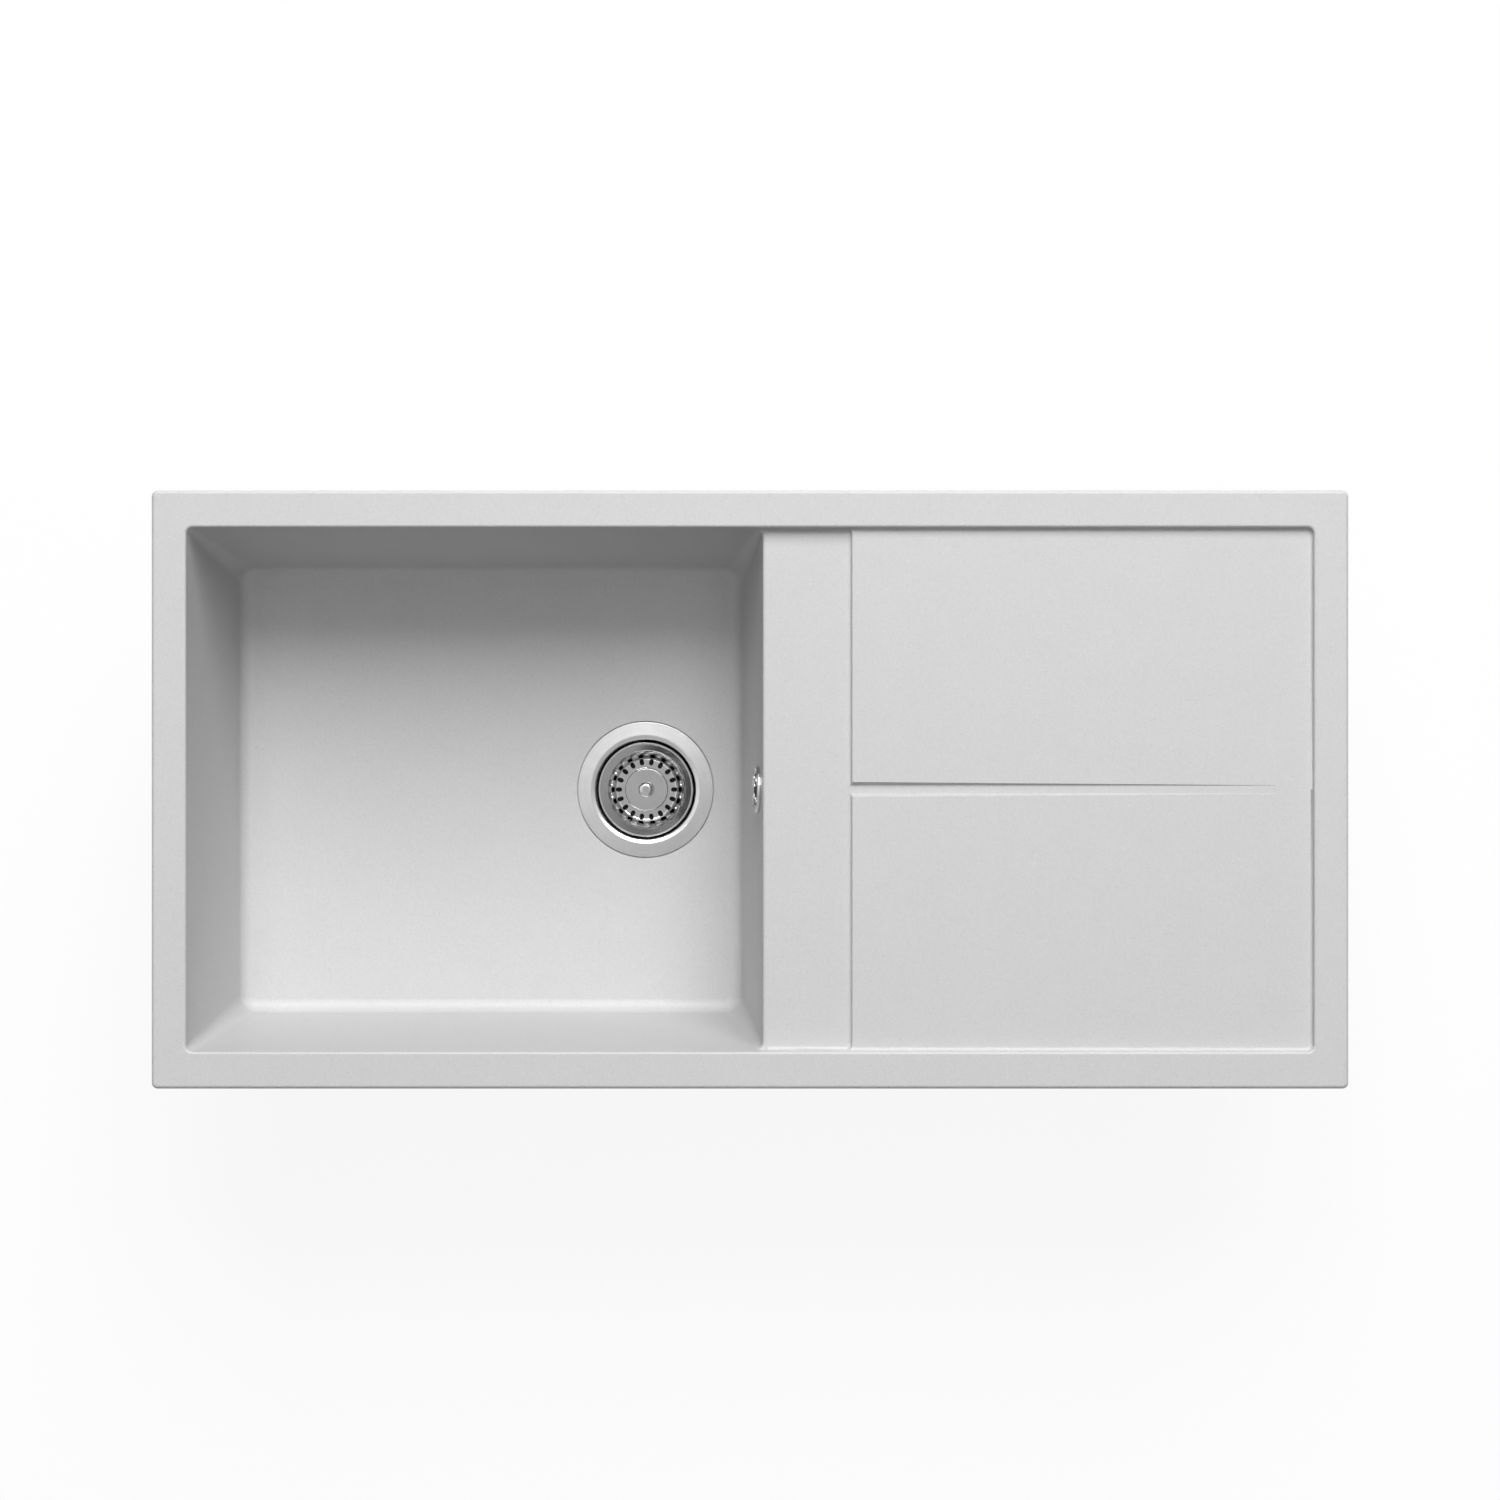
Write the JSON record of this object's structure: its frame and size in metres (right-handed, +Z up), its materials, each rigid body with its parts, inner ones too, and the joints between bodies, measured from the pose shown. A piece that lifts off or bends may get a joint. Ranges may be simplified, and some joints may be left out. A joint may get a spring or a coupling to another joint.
{
  "type": "kitchen sink",
  "caption": "Inset granite composite kitchen sink with a deep bowl, a grooved drainer, a lift-out basket strainer, an overflow with its hose, and swing-out fixing clips.",
  "frame": {"origin": "middle of the sink, on the worktop's surface, which is the rim's underside", "axes": "+X along the sink towards the drainer, +Y towards the rear of the worktop, +Z up"},
  "size_m": [1, 0.5, 0.31],
  "materials": {
    "granite": "matte moulded granite composite with a fine faint speckle",
    "brushed_steel": "satin stainless steel",
    "polished_steel": "polished stainless steel",
    "plain_steel": "plain turned stainless steel",
    "zinc_steel": "zinc-plated steel",
    "rubber": "matte black rubber",
    "white_plastic": "moulded white polypropylene",
    "hose_plastic": "flexible pale grey plastic",
    "dowel_plastic": "dull grey nylon",
    "brass": "plain turned brass"
  },
  "bodies": {
    "sink": {"sink_body": "granite", "rim_seal": "rubber", "strainer_cup": "brushed_steel", "flange_gasket": "rubber", "lower_gasket": "rubber", "waste_housing": "white_plastic", "clamp_insert": "brass", "clamp_screw": "plain_steel", "overflow_rosette": "polished_steel", "overflow_screw": "polished_steel", "overflow_gasket": "rubber", "overflow_elbow": "white_plastic", "overflow_hose": "hose_plastic", "hose_nut_upper": "white_plastic", "hose_nut_lower": "white_plastic", "clip_dowels": "dowel_plastic"},
    "basket_stem": {"basket_stem": "plain_steel", "basket_knob": "polished_steel", "basket_stopper": "rubber", "stem_nut": "plain_steel"},
    "basket": {"basket_cup": "polished_steel"},
    "clip_screw_front_1": {"clip_screw_front_1": "zinc_steel"},
    "clip_claw_front_1": {"clip_claw_front_1": "zinc_steel"},
    "clip_screw_front_2": {"clip_screw_front_2": "zinc_steel"},
    "clip_claw_front_2": {"clip_claw_front_2": "zinc_steel"},
    "clip_screw_front_3": {"clip_screw_front_3": "zinc_steel"},
    "clip_claw_front_3": {"clip_claw_front_3": "zinc_steel"},
    "clip_screw_front_4": {"clip_screw_front_4": "zinc_steel"},
    "clip_claw_front_4": {"clip_claw_front_4": "zinc_steel"},
    "clip_screw_rear_1": {"clip_screw_rear_1": "zinc_steel"},
    "clip_claw_rear_1": {"clip_claw_rear_1": "zinc_steel"},
    "clip_screw_rear_2": {"clip_screw_rear_2": "zinc_steel"},
    "clip_claw_rear_2": {"clip_claw_rear_2": "zinc_steel"},
    "clip_screw_rear_3": {"clip_screw_rear_3": "zinc_steel"},
    "clip_claw_rear_3": {"clip_claw_rear_3": "zinc_steel"},
    "clip_screw_rear_4": {"clip_screw_rear_4": "zinc_steel"},
    "clip_claw_rear_4": {"clip_claw_rear_4": "zinc_steel"}
  },
  "joints": [
    {"name": "basket_lift", "type": "slide", "parent": "sink", "child": "basket_stem", "axis": [0, 0, 1], "range_m": [0, 0.26]},
    {"name": "basket_turn", "type": "hinge", "parent": "basket_stem", "child": "basket", "pos_m": [-0.0928, 0, -0.221], "axis": [0, 0, 1], "continuous": true},
    {"name": "clip_tighten_front_1", "type": "slide", "parent": "sink", "child": "clip_screw_front_1", "axis": [0, 0, 1], "range_m": [0, 0.01]},
    {"name": "clip_swing_front_1", "type": "hinge", "parent": "clip_screw_front_1", "child": "clip_claw_front_1", "pos_m": [-0.4, -0.232, -0.037], "axis": [0, 0, -1], "range_deg": [0, 90]},
    {"name": "clip_tighten_front_2", "type": "slide", "parent": "sink", "child": "clip_screw_front_2", "axis": [0, 0, 1], "range_m": [0, 0.01]},
    {"name": "clip_swing_front_2", "type": "hinge", "parent": "clip_screw_front_2", "child": "clip_claw_front_2", "pos_m": [-0.13, -0.232, -0.037], "axis": [0, 0, -1], "range_deg": [0, 90]},
    {"name": "clip_tighten_front_3", "type": "slide", "parent": "sink", "child": "clip_screw_front_3", "axis": [0, 0, 1], "range_m": [0, 0.01]},
    {"name": "clip_swing_front_3", "type": "hinge", "parent": "clip_screw_front_3", "child": "clip_claw_front_3", "pos_m": [0.14, -0.232, -0.037], "axis": [0, 0, -1], "range_deg": [0, 90]},
    {"name": "clip_tighten_front_4", "type": "slide", "parent": "sink", "child": "clip_screw_front_4", "axis": [0, 0, 1], "range_m": [0, 0.01]},
    {"name": "clip_swing_front_4", "type": "hinge", "parent": "clip_screw_front_4", "child": "clip_claw_front_4", "pos_m": [0.41, -0.232, -0.037], "axis": [0, 0, -1], "range_deg": [0, 90]},
    {"name": "clip_tighten_rear_1", "type": "slide", "parent": "sink", "child": "clip_screw_rear_1", "axis": [0, 0, 1], "range_m": [0, 0.01]},
    {"name": "clip_swing_rear_1", "type": "hinge", "parent": "clip_screw_rear_1", "child": "clip_claw_rear_1", "pos_m": [-0.4, 0.232, -0.037], "axis": [0, 0, 1], "range_deg": [0, 90]},
    {"name": "clip_tighten_rear_2", "type": "slide", "parent": "sink", "child": "clip_screw_rear_2", "axis": [0, 0, 1], "range_m": [0, 0.01]},
    {"name": "clip_swing_rear_2", "type": "hinge", "parent": "clip_screw_rear_2", "child": "clip_claw_rear_2", "pos_m": [-0.13, 0.232, -0.037], "axis": [0, 0, 1], "range_deg": [0, 90]},
    {"name": "clip_tighten_rear_3", "type": "slide", "parent": "sink", "child": "clip_screw_rear_3", "axis": [0, 0, 1], "range_m": [0, 0.01]},
    {"name": "clip_swing_rear_3", "type": "hinge", "parent": "clip_screw_rear_3", "child": "clip_claw_rear_3", "pos_m": [0.14, 0.232, -0.037], "axis": [0, 0, 1], "range_deg": [0, 90]},
    {"name": "clip_tighten_rear_4", "type": "slide", "parent": "sink", "child": "clip_screw_rear_4", "axis": [0, 0, 1], "range_m": [0, 0.01]},
    {"name": "clip_swing_rear_4", "type": "hinge", "parent": "clip_screw_rear_4", "child": "clip_claw_rear_4", "pos_m": [0.41, 0.232, -0.037], "axis": [0, 0, 1], "range_deg": [0, 90]}
  ]
}
